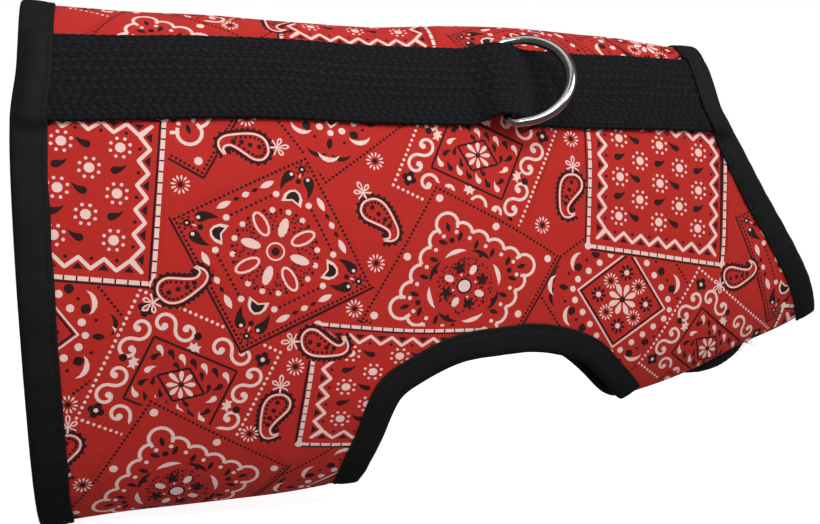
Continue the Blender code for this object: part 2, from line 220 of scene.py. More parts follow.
def clothEdges(step, setBack):
    nearWaist, farWaist = cornerX(waistX, nearEnd, 1), cornerX(waistX, farEnd, -1)
    nearNeck, farNeck = cornerX(neckX, nearEnd, 1), cornerX(neckX, farEnd, -1)
    waistTs = np.linspace(nearEnd(nearWaist) - setBack, -farEnd(farWaist) + setBack, 900)
    neckTs = np.linspace(-farEnd(farNeck) + setBack, nearEnd(nearNeck) - setBack, 900)

    def freeEdge(start, stop, end, sign):
        xs = np.linspace(start, stop, 300)
        return evenly(pairs(xs, sign * (end(xs) - setBack)), step)

    def archEdge(first, arch, last, end, sign):
        knots = [(first, float(end(first))), *arch, (last, float(end(last)))]
        line = curveThrough(knots, step)
        line[:, 1] = np.minimum(line[:, 1], end(line[:, 0]) - setBack)
        return line * (1, sign)

    nearArch = archEdge(body["nearBellyCorner"], body["arch"], body["nearChestCorner"], nearEnd, 1)[::-1]
    farSides = (*body["farBellySide"], *body["arch"][:-2], *body["farChestSide"])
    farArch = archEdge(body["farBellyCorner"], farSides, body["farChestCorner"], farEnd, -1)
    return {
        "waist": evenly(pairs(waistX(waistTs), waistTs), step),
        "farBelly": freeEdge(farWaist, body["farBellyCorner"], farEnd, -1),
        "farArch": farArch,
        "farChest": freeEdge(body["farChestCorner"], farNeck, farEnd, -1),
        "neck": evenly(pairs(neckX(neckTs), neckTs), step),
        "nearChest": freeEdge(nearNeck, body["nearChestCorner"], nearEnd, 1),
        "nearArch": nearArch,
        "nearBelly": freeEdge(body["nearBellyCorner"], nearWaist, nearEnd, 1),
    }


def edgeNormals(edge, reach=2):
    k = np.arange(len(edge))
    along = edge[np.minimum(k + reach, len(edge) - 1)] - edge[np.maximum(k - reach, 0)]
    along /= np.linalg.norm(along, axis=1, keepdims=True)
    return pairs(-along[:, 1], along[:, 0])


strap = {
    "width": 24.6,
    "low": 0.3,
    "high": 1.6,
    "ends": (-90.0, 97.0),
    "spine": ((-97.0, 38.6), (-62.0, 35.6), (-27.0, 33.8), (4.0, 33.1), (29.0, 34.0), (50.0, 32.8),
              (66.0, 31.2), (100.0, 27.4)),
    "rise": 9.0,
    "barX": 29.4,
    "beneath": 5.6,        # from the cloth's edge to the strap's end, under the binding
    "lift": 1.75,          # how much the binding rises over it
    "yarn": 1.3,           # across one warp column
    "float": 2.3,          # length of one bump of yarn
    "relief": 0.42,
}


def spineT(x):
    return smoothCurve(strap["spine"], 1, x)


# Soft unevenness of the filled-out cloth, and small puckers where it is sewn.
def measureFolds():
    x, t = np.meshgrid(alongSteps, roundSteps, indexing="ij")
    swell = np.sin(x / 15.0 + t / 24.0 + 0.6) * np.sin(t / 15.5 - x / 33.0 + 1.3)
    wave = np.sin(x / 6.9 - t / 9.0 + 2 * np.sin(t / 31.0)) * np.sin(t / 7.3 + x / 19.0)
    height = folds["swell"] * swell + folds["wave"] * wave
    pucker = np.zeros_like(x)
    for edge in (clothEdges(2.0, 0.0)[name] for name in ("waist", "neck", "nearArch", "farArch")):
        nearest = np.full(x.shape, 1e9)
        place = np.zeros(x.shape)
        for k, (ex, et) in enumerate(edge):
            apart = np.hypot(x - ex, t - et)
            closer = apart < nearest
            nearest[closer] = apart[closer]
            place[closer] = 2.0 * k
        edgeWave = np.sin(2 * math.pi * place / folds["puckerLength"] + 1.7 * np.sin(place / 11.0))
        reach = np.clip((nearest - 6.0) / folds["puckerReach"], 0, None)
        strength = (0.55 + 0.45 * np.sin(place / 17.0)) * np.exp(-reach)
        pucker += np.where(nearest < 40, folds["pucker"] * edgeWave * strength, 0)
    # the cloth dips a little beside the strap's two seams, and lies still under the ring
    beside = np.abs(t - spineT(x)) - strap["width"] / 2
    seam = -0.22 * np.exp(-((beside - 0.6) / 1.6) ** 2)
    ringAway = np.hypot(x - strap["barX"], t - spineT(strap["barX"]))
    calm = 1 - np.exp(-((ringAway / 22.0) ** 4))
    return (height + pucker) * calm + seam * calm


foldHeights = measureFolds()


def tuckIn(x, t):
    start = 2 * halfGirth(x) - nearEnd(x) - body["tuckRun"]
    return np.where(t > 0, 0.0, body["tuck"] * ease((-t - start) / body["tuckRun"]))


# The bindings rise where the strap's ends lie beneath them.
def overStrap(x, t, reach):
    beside = np.abs(t - spineT(x)) - strap["width"] / 2
    return strap["lift"] * (1 - ease(beside / 2.4)) * ease((reach + 1.0) / 4.0)


def onCloth(x, t, height):
    x, t = np.asarray(x, float), np.asarray(t, float)
    lift = height - tuckIn(x, t) + lookUp(foldHeights, x, t)
    return lookUp(skinPoints, x, t) + lookUp(skinOutward, x, t) * np.asarray(lift)[..., None]


def clothNormals(x, t):
    step = 0.4
    around = onCloth(x, t + step, 0.0) - onCloth(x, t - step, 0.0)
    along = onCloth(x + step, t, 0.0) - onCloth(x - step, t, 0.0)
    normal = np.cross(around, along)
    return normal / np.linalg.norm(normal, axis=-1, keepdims=True)


report("body measured")


def makeMaterial(name, color, roughness, metallic=0.0, sheen=0.0, gloss=0.5):
    material = bpy.data.materials.new(name)
    material.use_nodes = True
    shader = material.node_tree.nodes["Principled BSDF"]
    for key, value in (("Base Color", (*color, 1)), ("Roughness", roughness), ("Metallic", metallic),
                       ("Sheen Weight", sheen), ("Sheen Roughness", 0.5), ("Specular IOR Level", gloss)):
        shader.inputs[key].default_value = value
    return material, material.node_tree.nodes, material.node_tree.links, shader


def addNode(nodes, kind, **values):
    node = nodes.new(kind)
    for key, value in values.items():
        if key in node.inputs:
            node.inputs[key].default_value = value
        else:
            setattr(node, key, value)
    return node


def addBump(nodes, links, shader, height, strength, distance):
    bump = addNode(nodes, "ShaderNodeBump", Strength=strength, Distance=distance)
    links.new(height, bump.inputs["Height"])
    links.new(bump.outputs[0], shader.inputs["Normal"])


def addToScene(name, data):
    item = bpy.data.objects.new(name, data)
    bpy.context.scene.collection.objects.link(item)
    return item


# Cotton in one colour of ink: plain weave on the cloth's own map, a little unevenness of the dye.
def clothMaterial(name, color, roughness=0.82, pitch=0.42, weave=0.10, mottle=0.10, sheen=0.03, relief=0.5,
                  gloss=0.18):
    material, nodes, links, shader = makeMaterial(name, color, roughness, 0.0, sheen, gloss)

    def workOut(operation, *values):
        node = addNode(nodes, "ShaderNodeMath", operation=operation)
        for socket, value in zip(node.inputs, values):
            if isinstance(value, bpy.types.NodeSocket):
                links.new(value, socket)
            else:
                socket.default_value = value
        return node.outputs[0]

    place = addNode(nodes, "ShaderNodeUVMap", uv_map="clothMap").outputs["UV"]
    split = addNode(nodes, "ShaderNodeSeparateXYZ")
    links.new(place, split.inputs[0])
    turns = 10 * 2 * math.pi / pitch
    upright, level = (workOut("SINE", workOut("MULTIPLY", split.outputs[axis], turns)) for axis in "XY")
    threads = workOut("ADD", workOut("MULTIPLY", upright, level), upright)     # the upright threads show more
    tone = workOut("MULTIPLY_ADD", threads, weave * 0.5, 1.0)
    for scale, detail, share in ((1.3, 3.0, mottle), (30.0, 2.0, mottle * 1.3)):
        noise = addNode(nodes, "ShaderNodeTexNoise", Scale=scale, Detail=detail, Roughness=0.6)
        links.new(place, noise.inputs["Vector"])
        tone = workOut("MULTIPLY_ADD", noise.outputs["Fac"], share, tone)
    paint = addNode(nodes, "ShaderNodeVectorMath", operation="SCALE")
    paint.inputs[0].default_value = tuple(c / (1 + 1.15 * mottle) for c in color)
    links.new(tone, paint.inputs["Scale"])
    links.new(paint.outputs[0], shader.inputs["Base Color"])
    height = workOut("MULTIPLY_ADD", threads, 0.25, noise.outputs["Fac"])
    addBump(nodes, links, shader, height, relief, 0.00012)
    return material


inks = {
    "red": (0.485, 0.021, 0.015),
    "white": (0.86, 0.60, 0.55),
    "dark": (0.027, 0.009, 0.010),
    "tan": (0.42, 0.20, 0.14),
}
printRed = clothMaterial("printedRed", inks["red"])
printWhite = clothMaterial("printedWhite", inks["white"], weave=0.07, mottle=0.06)
printDark = clothMaterial("printedDark", inks["dark"], mottle=0.25)
liningCotton = clothMaterial("liningCotton", (0.014, 0.013, 0.014), roughness=0.9)
bindingCotton = clothMaterial("bindingCotton", (0.0074, 0.0069, 0.0071), roughness=0.72, pitch=0.5,
                              weave=0.20, mottle=0.2, sheen=0.015)
webbingCotton = clothMaterial("webbingCotton", (0.0132, 0.0136, 0.0172), roughness=0.92, pitch=0.33,
                              weave=0.05, mottle=0.35, sheen=0.02, relief=0.35)
pileNylon = clothMaterial("pileNylon", (0.007, 0.007, 0.007), roughness=0.9, mottle=0.5)
threadBlack = clothMaterial("threadBlack", (0.0066, 0.0062, 0.0064), roughness=0.75, pitch=0.3, weave=0.3)


# Painted shade: the webbing's colour is darkened down between its yarns, by the height kept on its points.
def paintGapShade(material, floor):
    nodes, links = material.node_tree.nodes, material.node_tree.links
    color = nodes["Principled BSDF"].inputs["Base Color"]
    yarn = addNode(nodes, "ShaderNodeAttribute", attribute_name="yarn")
    shade = addNode(nodes, "ShaderNodeMapRange", **{"To Min": floor})
    links.new(yarn.outputs["Fac"], shade.inputs["Value"])
    shadedColor = addNode(nodes, "ShaderNodeVectorMath", operation="SCALE")
    links.new(color.links[0].from_socket, shadedColor.inputs[0])
    links.new(shade.outputs[0], shadedColor.inputs["Scale"])
    links.new(shadedColor.outputs[0], color)


# painted shade: down between the yarns the webbing keeps only 0.22 of its colour
paintGapShade(webbingCotton, 0.22)


def metalMaterial():
    material, nodes, links, shader = makeMaterial("nickelPlate", (0.66, 0.64, 0.61), 0.16, 1.0)
    place = addNode(nodes, "ShaderNodeTexCoord")
    brush = addNode(nodes, "ShaderNodeTexNoise", Scale=900.0, Detail=4.0, Roughness=0.6)
    cloud = addNode(nodes, "ShaderNodeTexNoise", Scale=160.0, Detail=3.0, Roughness=0.5)
    for noise in (brush, cloud):
        links.new(place.outputs["Object"], noise.inputs["Vector"])
    rough = addNode(nodes, "ShaderNodeMapRange", **{"To Min": 0.10, "To Max": 0.27})
    links.new(cloud.outputs["Fac"], rough.inputs["Value"])
    links.new(rough.outputs[0], shader.inputs["Roughness"])
    addBump(nodes, links, shader, brush.outputs["Fac"], 0.12, 0.0001)
    return material


nickelPlate = metalMaterial()
report("materials made")


def keepPiece(name, mesh, materials, bodyName="harness"):
    for material in materials:
        mesh.materials.append(material)
    mesh.shade_smooth()
    piece = addToScene(name, mesh)
    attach(piece, bodyName)
    return piece


def setMap(mesh, perPoint):
    layer = mesh.uv_layers.new(name="clothMap")
    corner = np.empty(len(mesh.loops), np.int32)
    mesh.loops.foreach_get("vertex_index", corner)
    layer.data.foreach_set("uv", (np.asarray(perPoint)[corner] * 0.1).astype(np.float32).ravel())


# A grid from bmesh whose points are then laid where pointAt says, from u and v between 0 and 1, and closed
# into a band. pointAt also gives each point's place on the cloth's map, and its height in the yarn.
def bandMesh(name, along, across, pointAt, hasYarn=False):
    bm = bmesh.new()
    layer = bm.loops.layers.uv.new("clothMap")
    yarn = bm.verts.layers.float.new("yarn") if hasYarn else None
    made = bmesh.ops.create_grid(bm, x_segments=along, y_segments=across, size=1)["verts"]
    flat = np.array([vert.co[:2] for vert in made])
    points, mapped = pointAt((flat[:, 0] + 1) / 2, (flat[:, 1] + 1) / 2)
    bm.verts.index_update()
    places = {}
    for vert, point, place in zip(made, points * 0.001, mapped):
        vert.co = point
        places[vert.index] = place
        if hasYarn:
            vert[yarn] = place[2]
    for face in bm.faces:
        for corner in face.loops:
            corner[layer].uv = places[corner.vert.index][:2] * 0.1
    bmesh.ops.remove_doubles(bm, verts=bm.verts, dist=2e-6)
    bmesh.ops.holes_fill(bm, edges=[edge for edge in bm.edges if edge.is_boundary], sides=0)
    return meshOf(name, bm)


def meshOf(name, bm):
    bmesh.ops.recalc_face_normals(bm, faces=bm.faces)
    mesh = bpy.data.meshes.new(name)
    bm.to_mesh(mesh)
    bm.free()
    return mesh


# Every figure of the print is a few flat outlines, each with an ink, drawn about the figure's own middle.
red, white, dark, turned = 0, 1, 2, 3


def turnedBy(points, degrees):
    c, s = math.cos(math.radians(degrees)), math.sin(math.radians(degrees))
    return np.asarray(points, float) @ np.array(((c, s), (-s, c)))


def moved(figures, x=0.0, y=0.0, turn=0.0, flip=1):
    return [(turnedBy(outline * (flip, 1), turn) + (x, y), ink) for outline, ink in figures]


def oval(x, y, wide, tall=None, turn=0.0, sides=8):
    a = np.linspace(0, 2 * math.pi, sides, endpoint=False)
    return turnedBy(pairs(wide * np.cos(a), (tall or wide) * np.sin(a)), turn) + (x, y)


def dot(x, y, size, ink, sides=8):
    return oval(x, y, size, sides=sides), ink


def lens(x, y, long, wide, turn=0.0):
    u = np.linspace(-1, 1, 6)
    edge = pairs(u * long / 2, (1 - u ** 2) * wide / 2)
    return turnedBy(np.concatenate((edge, edge[-2:0:-1] * (1, -1))), turn) + (x, y)


def petal(x, y, start, long, wide, turn):
    u = np.array((0, 0.3, 0.62, 0.86, 1, 0.86, 0.62, 0.3))
    v = np.array((0.05, 0.3, 0.5, 0.4, 0, -0.4, -0.5, -0.3))
    return turnedBy(pairs(start + u * long, v * wide), turn) + (x, y)


def comma(x, y, long, wide, turn, bend=1):
    r = wide / 2
    head = np.radians(np.linspace(90, 270, 5))
    s = np.array((0.25, 0.5, 0.72, 0.9))
    middle, half = 0.85 * wide * s ** 2.2, 1.05 * r * (1 - s) ** 0.62
    low = pairs(s * (long - r), middle - half)
    high = pairs(s * (long - r), middle + half)
    points = np.concatenate((pairs(r * np.cos(head), r * np.sin(head)), low,
                             [(long - r, 0.95 * wide)], high[::-1]))
    return turnedBy(points * (1, bend), turn) + (x, y)


def crescent(x, y, radius, span, thick, turn):
    a = np.linspace(-1, 1, 7)
    ang = np.radians(a * span / 2)
    outer = pairs(np.cos(ang), np.sin(ang)) * radius
    inner = pairs(np.cos(ang), np.sin(ang)) * (radius - thick * (1 - a ** 2))[:, None]
    return turnedBy(np.concatenate((outer, inner[-2:0:-1])), turn) + (x, y)


def ribbon(points, width):
    line = np.asarray(points, float)
    side = edgeNormals(line, 1) * width / 2
    return np.concatenate((line - side, (line + side)[::-1]))


def arcLine(x, y, radius, start, stop, steps):
    a = np.radians(np.linspace(start, stop, steps))
    return pairs(x + radius * np.cos(a), y + radius * np.sin(a))


def beads(start, stop, pitch, size, ink, sides=4):
    start, stop = np.array(start, float), np.array(stop, float)
    count = max(int(round(np.linalg.norm(stop - start) / pitch)), 1)
    return [dot(*(start + (stop - start) * k / count), size, ink, sides) for k in range(count + 1)]


def box(half, tall=None):
    tall = tall or half
    return np.array(((-half, -tall), (half, -tall), (half, tall), (-half, tall)), float)


def polar(reach, degrees):
    return turnedBy((reach, 0), degrees)


def dotRing(x, y, reach, size, count, ink, sides=5, start=0):
    turns = np.radians(np.arange(count) * 360 / count + start)
    return [dot(x + reach * math.cos(a), y + reach * math.sin(a), size, ink, sides) for a in turns]


def ringSides(draw):
    return [figure for k in range(4) for figure in moved(draw(k), turn=90 * k)]


def sunburst():
    ray = np.array(((1.05, 0), (1.8, -0.27), (2.4, -0.17), (2.4, 0.17), (1.8, 0.27)))
    return [(turnedBy(ray, 30 * k + 8), white) for k in range(12)] + [dot(0, 0, 0.72, dark, 9)]


def smallFlower():
    return [dot(0, 0, 1.3, white, 9)] + dotRing(0, 0, 2.45, 0.46, 8, white, 6, 22)


def petalSquare():
    half = 18.1

    def side(k):
        figures = beads((-half, -half), (half, -half), 1.2, 0.50, dark)
        if k in (2, 3):
            figures.append((ribbon(((-half - 1.0, -half - 1.0), (half + 1.0, -half - 1.0)), 0.6), dark))
        figures += beads((-5.4, -13.1), (5.4, -13.1), 1.35, 0.48, dark)
        for s in (-1, 1):
            figures += [(comma(12.4 * s, -15.9, 5.4, 2.8, 0 if s < 0 else 180, -s), dark),
                        dot(12.9 * s, -16.0, 0.5, white, 6), (lens(6.0 * s, -16.1, 4.1, 1.6), white),
                        (lens(2.55 * s, -16.1, 1.8, 1.0), dark), dot(6.9 * s, -13.0, 0.85, white)]
        return figures + [(lens(0, -16.1, 2.1, 1.5), white)]

    def corner(k):
        bell = np.array(((-2.6, -1.5), (0, -0.5), (2.6, -1.5), (2.4, 0.6), (1.4, 2.0), (0, 2.6), (-1.4, 2.0),
                         (-2.4, 0.6)))
        figures = moved([(bell, white), (bell * 0.66 + (0, 0.3), dark)], 0, 14.3)
        figures += [dot(0, 19.2, 0.8, dark, 6), dot(0, 22.6, 1.1, dark, 6)]
        figures += dotRing(0, 22.6, 1.5, 0.36, 6, dark)
        figures += [dot(0, 22.6, 0.36, white, 5), (lens(0, 20.7, 1.3, 0.4, 90), white)]
        return moved(figures, turn=-45)

    figures = [(box(half + 1.4), red)] + ringSides(side) + ringSides(corner)
    for angle in range(0, 360, 90):
        figures += [(oval(*polar(7.8, angle), 3.5, 1.75, angle, 12), white),
                    (oval(*polar(7.8, angle), 2.85, 1.15, angle, 12), red),
                    (oval(*polar(6.4, angle + 45), 2.6, 1.2, angle + 45, 10), white)]
    for k in range(4):
        figures += [dot(*polar(10.6, 45 + 90 * k + step), 0.78, white, 7) for step in (-22, 0, 22)]
        figures += [dot(*polar(10.7, 45 + 90 * k + step), 0.5, dark, 5)
                    for step in (-33, -11, 11, 33)]
    speck = random.Random(3)
    for reach, count in ((3.8, 20), (4.8, 24), (5.8, 28), (6.8, 32), (7.8, 36), (8.8, 40), (9.7, 44)):
        for k in range(count):
            angle = 360 * (k + 0.5 * (count % 8 == 4) + speck.uniform(-0.25, 0.25)) / count
            radius = reach + speck.uniform(-0.25, 0.25)
            off = abs((angle + 22.5) % 45 - 22.5)
            wide = 1.9 if round(angle / 45) % 2 == 0 else (1.5 if radius < 9.5 else 0)
            if radius * math.sin(math.radians(off)) > wide * 0.95:
                figures.append((oval(*polar(radius, angle), 0.5, turn=angle, sides=3), dark))
    return figures + [dot(0, 0, 2.4, white, 14), dot(0, 0, 1.95, red, 14),
                      dot(0, 0, 1.1, dark, 9)]


def scallopSquare():
    half = 20.6

    def side(k):
        figures = beads((-half, -half), (half, -half), 1.2, 0.50, dark)
        if k in (1, 2):
            figures.append((ribbon(((-half - 1.0, -half - 1.0), (half + 1.0, -half - 1.0)), 0.6), dark))
        for middle in (-8.0, -2.67, 2.67, 8.0):
            figures += [(ribbon(arcLine(middle, -12.6, 3.0, 207, 333, 7), 0.9), white),
                        (lens(middle, -11.6, 3.0, 1.3, 82), dark)]
        figures += [dot(middle, -12.4, 0.62, white, 6) for middle in (-5.3, 0.0, 5.3)]
        return figures + [dot(0, -18.6, 1.1, white), dot(0, -9.4, 0.62, dark, 6),
                          (crescent(0, -6.3, 4.5, 92, 1.25, -90), dark)]

    def corner(k):
        figures = [(ribbon(arcLine(0, 18.4, 3.1, -38, 218, 12), 0.9), white),
                   (lens(0, 17.4, 3.0, 1.3, 90), dark),
                   dot(1.9, 15.4, 0.62, white, 6), dot(-1.9, 15.4, 0.62, white, 6),
                   dot(0, 13.6, 0.85, dark, 7), dot(0, 26.0, 1.1, white),
                   (crescent(0, 6.3, 4.5, 92, 1.3, 90), white)]
        return moved(figures, turn=-45)

    figures = [(box(half + 1.4), red)] + ringSides(side) + ringSides(corner)
    speck = random.Random(5)
    for k in range(150):
        radius, angle = 2.2 + 5.8 * math.sqrt(speck.random()), speck.uniform(0, 360)
        size = 1.2 * speck.uniform(0.26, 0.5)
        figures.append((oval(*polar(radius, angle), size, turn=angle, sides=3), dark))
    for k in range(4):
        blossom = [dot(5.4, 0, 1.2, dark, 6)] + dotRing(5.4, 0, 1.3, 0.55, 5, dark)
        figures += moved(blossom, turn=45 + 90 * k)
        figures += [dot(*polar(3.3, 45 + 90 * k), 0.36, white, 5),
                    (oval(*polar(5.0, 90 * k), 1.5, 0.98, 90 * k), white)]
    return figures + [dot(0, 0, 2.3, dark, 10), dot(0, 0, 1.75, white, 10)]


def scrollLine():
    turn = np.linspace(60, 368, 16)
    reach = 1.15 + (turn - 60) / 308 * 1.78
    half = pairs(-2.9 + reach * np.cos(np.radians(turn)), -0.4 + reach * np.sin(np.radians(turn)))
    return np.concatenate((half, -half[-2::-1]))


def scroll():
    eye = np.array((-2.9, -0.4)) + turnedBy((0.62, 0), 60)
    return [(ribbon(scrollLine(), 0.86), white), dot(*eye, 0.85, white), dot(*-eye, 0.85, white)]


def scrollSquare():
    wide, tall = 19.2, 17.6
    leafy = np.array(((0, 1.3), (-0.7, 0.7), (-1.7, 0.9), (-1.2, 0.0), (-1.5, -0.9), (-0.5, -0.6), (0, -1.5),
                      (0.5, -0.6), (1.5, -0.9), (1.2, 0.0), (1.7, 0.9), (0.7, 0.7)))
    figures = [(box(wide + 1.0, tall + 1.0), red)]
    for s in (-1, 1):
        figures += beads((-wide, s * tall), (wide, s * tall), 1.5, 0.46, white, sides=6)
        figures += beads((s * wide, -tall), (s * wide, tall), 1.5, 0.46, white, sides=6)
        for place in ((-7.6, 12.7 * s, -12), (7.8, 12.7 * s, -12), (15.3 * s, -6.2, 84), (15.3 * s, 6.6, 84)):
            figures += moved(scroll(), *place)
        figures += [(turnedBy(leafy, turn) + (x, y), white)
                    for x, y, turn in ((1.2 * s, 10.0 * s, 90 + 90 * s), (13.0 * s, 0.6 * s, 90 * s + 180))]
        figures += [dot(1.6 * s, 12.9 * s, 1.05, dark), dot(15.8 * s, 0.8 * s, 1.05, dark)]
        for u in (-1, 1):
            middle = (15.9 * u, 14.0 * s)
            figures += dotRing(*middle, 1.15, 1.05, 4, dark, 6) + [dot(*middle, 0.62, white, 7)]
    inner = ((-11.3, -8.6), (11.3, -8.6), (11.3, 8.6), (-11.3, 8.6), (-11.3, -8.6))
    small = ((-6.4, 0), (0, -4.7), (6.4, 0), (0, 4.7), (-6.4, 0))
    for corners in (inner, small):
        figures += [(ribbon((a, b), 0.62), dark) for a, b in zip(corners, corners[1:])]
    for s in (-1, 1):
        over = 90 - 90 * s
        for k, u in enumerate(np.linspace(-9.0, 9.0, 7)):
            figures.append((comma(u * s, -6.6 * s, 2.9, 1.5, 15 + over), dark if k % 2 else white))
        for k, v in enumerate((-3.4, 0.2, 3.8)):
            figures.append((comma(9.2 * s, v * s, 2.8, 1.5, 100 + over), white if k % 2 else dark))
        for u, v, turn in ((-3.6, -4.3, 10), (3.4, -4.4, 35), (6.6, -2.2, 60)):
            figures.append((comma(u * s, v * s, 2.6, 1.2, turn + over), dark))
    figures += [(petal(0, 0, 0.7, 3.0 if k % 4 else 3.6, 1.25, 45 * k + 22), white) for k in range(8)]
    return figures + [dot(0, 0, 0.75, dark, 7)]


def zigzagSquare():
    wide, tall = 23.8, 20.9
    figures = [(box(wide + 1.5, tall + 1.5), red)]

    def dashes(a, b, count, shadow):
        a, b = np.array(a, float), np.array(b, float)
        step = (b - a) / count
        gap = step / np.linalg.norm(step) * 0.2
        return [(ribbon((a + shadow, b + shadow), 0.55), dark), (ribbon((a, b), 1.0), dark)] + [
            (ribbon((a + step * k + gap, a + step * (k + 1) - gap), 1.1), white) for k in range(count)]

    for y in (-tall, tall):
        figures += dashes((-wide, y), (wide, y), 16, (0, 0.95))
    for x in (-wide, wide):
        figures += dashes((x, -tall), (x, tall), 15, (-0.95, 0))
    figures += [dot(s * wide, v * tall, 1.15, white, 9) for s in (-1, 1) for v in (-1, 1)]

    # a zigzag from corner to corner, with dark notches outside it and dots inside
    corners = np.array(((-20.9, -18.3), (20.9, -18.3), (20.9, 18.3), (-20.9, 18.3)))
    loop = []
    for k, inward in enumerate(((0, 2.6), (-2.6, 0), (0, -2.6), (2.6, 0))):
        start, stop, inward = corners[k], corners[(k + 1) % 4], np.array(inward)
        steps = 14 - 2 * (k % 2)
        reach = (stop - start) / steps
        for m in range(steps):
            outer = start + reach * m
            loop.append(outer + inward * (m % 2))
            if m % 2:
                foot, aside = outer - inward * 0.1, reach * 0.45
                figures.append((np.array((outer + inward * 0.5, foot - aside, foot + aside)), dark))
            elif m:
                figures.append(dot(*(outer + inward * 0.95), 0.5, dark, 6))
    loop.append(loop[0])
    figures += [(ribbon((a, b), 0.95), white) for a, b in zip(loop, loop[1:])]
    figures += [dot(*a, 0.475, white, 6) for a in loop]
    for row, y in enumerate((-12.0, -6.2, -0.5, 5.3, 11.0)):
        for k in range(5):
            x = (k - 2) * 6.9
            if (k + row) % 2 == 0:
                figures += moved(smallFlower(), x, y)
            else:
                figures.append((comma(x - 1.0, y, 3.9, 2.0, *((0, -1) if row % 2 else (180, 1))), dark))
    return figures


def daisySquare():
    half = 10.4

    def side(k):
        figures = [(ribbon(((-half - 0.25, -half), (half + 0.25, -half)), 0.5), white),
                   (ribbon(((-half + 0.6, -half + 0.75), (half - 0.6, -half + 0.75)), 0.55), dark)]
        figures += [dot(u, -12.9, 1.0, white) for u in (-8.6, -4.3, 0, 4.3, 8.6)]
        figures += [(lens(u, -15.6, 2.9, 2.4, 45 + 4 * u), dark) for u in (-6.4, 0.4, 6.6)]
        figures += [dot(u, -15.8, 0.5, dark, 6) for u in (-10.0, -3.0, 3.6, 10.2)]
        figures += [(crescent(u, -16.2, 3.1, 150, 1.3, -90 + 6 * u), white) for u in (-5.3, 5.3)]
        figures += [(crescent(u, -16.8, 3.0, 140, 1.2, -90 + 3 * u), dark) for u in (-12.5, 12.5)]
        return figures + beads((-21.2, -21.2), (21.2, -21.2), 1.2, 0.50, dark)

    def corner(k):
        figures = [(crescent(0, 21.4, 3.1, 150, 1.3, 90), white), (lens(0, 19.4, 3.3, 1.7, 90), dark),
                   dot(0, 16.4, 0.9, white)]
        figures += [(petal(0, 8.0, 0.6, 1.9, 0.95, 45 * m), dark) for m in range(8)]
        return moved(figures + [dot(0, 8.0, 0.85, white, 7)], turn=-45)

    figures = [(box(22.2), red)] + ringSides(side) + ringSides(corner)
    burst = [(outline * 0.98, ink) for outline, ink in sunburst()]
    for k in range(4):
        figures += moved(burst, *turnedBy((0, -6.6), 90 * k))
    figures += [(petal(0, 0, 0.9, 3.9, 1.75, 45 * k + 15), white) for k in range(8)]
    return figures + [dot(0, 0, 0.95, dark, 8)]


paisleyKnots = ((1.3, 8.4), (-0.6, 8.9), (-1.5, 7.2), (-0.4, 5.0), (1.7, 2.5), (3.4, 0.2), (3.5, -2.2),
                (1.8, -3.9), (-0.3, -4.1), (-2.5, -3.3), (-4.0, -1.2), (-4.5, 1.5), (-4.5, 5.0),
                (-4.1, 8.2), (-2.8, 9.9), (-0.9, 10.0), (1.2, 8.8))


def paisley():
    line = curveThrough(paisleyKnots, 0.75) * 0.88
    out = edgeNormals(line, 1)
    if np.mean(np.sum((line - line.mean(axis=0)) * out, axis=1)) < 0:
        out = -out
    inner = line - out * 0.95
    figures = [(ribbon(line, 3.2), red), (ribbon((line + out * 0.8)[::2], 0.7), dark)]
    figures += [dot(*p, 0.52, dark, 6) for p in (line + out * 1.1)[::2]]
    figures.append((line[::2], red))
    figures += [dot(*p, 0.46, dark, 5) for p in inner[inner[:, 1] < 5.6][::2]]
    figures += [dot(x, y, 0.7, dark, 7)
                for x, y in ((-0.2, -1.4), (-0.9, 0.9), (-1.8, 3.0), (-2.1, 5.0))]
    figures.append((ribbon(line, 0.5), white))
    for turn, long in ((-150, 2.6), (-90, 3.2), (-30, 2.6)):
        figures += [(petal(0.1, -5.9, 0.1, long, 1.35, turn), white),
                    (petal(0.1, -5.9, 0.9, long - 1.3, 0.55, turn), red)]
    return figures + [(ribbon(((0.1, -4.1), (0.1, -6.2)), 0.5), white),
                      (ribbon(((-1.9, -4.9), (0.1, -5.9), (2.1, -4.9)), 0.4), white)]


# Where each figure lies: x, t, turn, stretch along and stretch round. The rest of the cloth repeats them.
printPlan = {
    "repeatAlong": (81.0, 54.0),
    "repeatDown": (79.0, -59.0),
    "figures": (
        (daisySquare, 34, ((67.8, 93.1, -38, 1.04, 1.0), (-18.5, 32.6, -38), (-98.0, 99.6, -38),
                           (-9.0, 152.0, -38, 1, 0.9), (84.0, 9.0, -38))),
        (scrollSquare, 34, ((-59.0, 114.6, 25), (21.0, 54.2, 25), (102.0, 107.0, 30, 0.98, 1.02))),
        (scallopSquare, 34, ((16.6, 89.9, 29, 1.03, 0.97), (-59.2, 147.0, 31), (-62.0, 33.3, 29))),
        (petalSquare, 34, ((-35.7, 80.9, -27, 1.03, 1.0), (133.5, 73.0, -27), (43.0, 22.0, -27))),
        (zigzagSquare, 40, ((-88.2, 66.6, 4), (80.0, 58.3, 2), (-2.5, 117.6, 5, 1, 0.8),
                            (-9.6, 0.8, 0, 0.92, 1))),
        (paisley, 20, ((50.3, 62.0, 2), (-34.3, 121.8, 4), (-86.2, 130.6, 2),
                       (-9.3, 69.6, -28, -1, 1), (-40.8, 54.4, 84), (-61.2, 90.2, -127),
                       (-25.0, 103.9, -92), (107.8, 83.2, -122))),
        (sunburst, 12, ((-59.3, 64.4), (-8.8, 83.0), (-14.6, 95.1), (40.4, 73.6), (-30.1, 110.6),
                        (-41.3, 129.0), (-82.6, 142.0), (-85.8, 118.8), (-45.0, 15.5), (50.6, 48.0),
                        (-8.7, 55.8), (-42.5, 46.3))),
    ),
}


# Nothing is drawn where the strap or the near flaps cover the cloth.
def isCovered(outline):
    x, t = outline[:, 0], outline[:, 1]
    underStrap = np.abs(t - spineT(x)).max() < strap["width"] / 2 - 1
    return underStrap or np.all(-t > 2 * halfGirth(x) - nearEnd(x) + 6)


